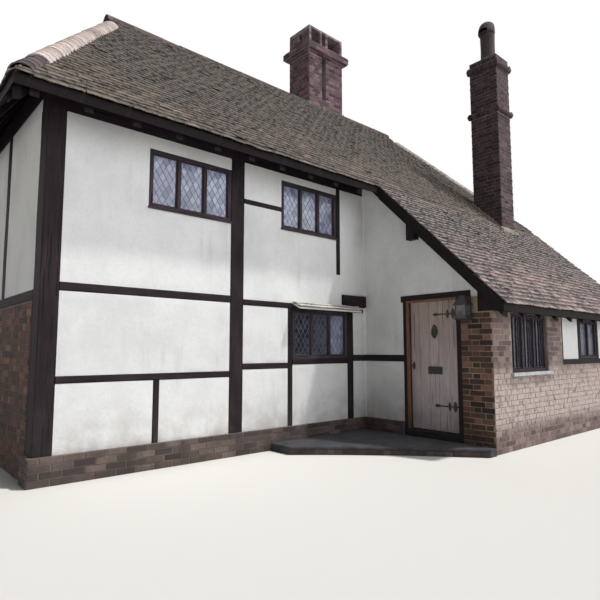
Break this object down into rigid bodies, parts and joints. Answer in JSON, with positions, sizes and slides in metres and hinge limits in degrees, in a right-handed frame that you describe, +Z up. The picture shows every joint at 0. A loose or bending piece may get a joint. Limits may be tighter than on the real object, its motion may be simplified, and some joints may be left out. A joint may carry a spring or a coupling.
{
  "type": "half timbered house",
  "caption": "Two-storey half timbered house with a hipped tile roof that sweeps down over a low brick outshut, a boarded front door and two brick chimneys.",
  "frame": {"origin": "on the ground, under the middle of the main block, on the underside of the ground floor", "axes": "+X along the front to the right as one faces it, +Y from the front to the back, +Z up"},
  "size_m": [11.2304, 8.0838, 8.83],
  "materials": {
    "stone": "matte",
    "floor_boards": "matte",
    "plinth_brick": "matte",
    "brick": "matte",
    "frame_oak": "matte",
    "limewash": "matte",
    "painted_sill": "matte",
    "window_wood": "satin",
    "window_glass": "gloss",
    "door_boards": "matte",
    "black_iron": "satin",
    "clay_tile": "matte",
    "bonnet_tile": "matte",
    "chimney_brick": "matte",
    "pot_clay": "matte"
  },
  "bodies": {
    "root": {"ground_floor": "stone", "outshut_floor": "stone", "first_floor": "floor_boards", "front_plinth": "plinth_brick", "other_plinths": "plinth_brick", "front_posts": "frame_oak", "front_rails": "frame_oak", "front_panels": "limewash", "end_wall_brick": "brick", "end_wall_beams": "frame_oak", "end_wall_panels": "limewash", "rear_frame": "frame_oak", "rear_panels": "limewash", "wall_plates": "frame_oak", "purlin_and_girt": "frame_oak", "door_posts": "frame_oak", "door_wall_beams": "frame_oak", "threshold": "frame_oak", "over_door_panel": "limewash", "brick_pier": "brick", "outshut_brick": "brick", "outshut_timber": "frame_oak", "outshut_panels": "limewash", "outshut_sills": "painted_sill", "window_frames": "window_wood", "window_glass": "window_glass", "window_hood": "frame_oak", "hinge_pins": "black_iron", "wall_lantern": "black_iron", "front_step": "stone", "front_roof": "clay_tile", "catslide_roof": "clay_tile", "rear_roof": "clay_tile", "hip_roofs": "clay_tile", "roof_boards": "frame_oak", "ridge_tiles": "clay_tile", "hip_tiles": "bonnet_tile", "long_rafters": "frame_oak", "short_rafters": "frame_oak", "ridge_chimney": "chimney_brick", "outer_chimney": "chimney_brick", "chimney_pot": "pot_clay"},
    "door": {"front_door": "door_boards", "door_ironwork": "black_iron", "door_hinges": "black_iron"}
  },
  "joints": [
    {"name": "front_door_hinge", "type": "hinge", "parent": "root", "child": "door", "pos_m": [0.048, -4.216, 0.2], "axis": [0, 0, -1], "range_deg": [0, 90]}
  ]
}
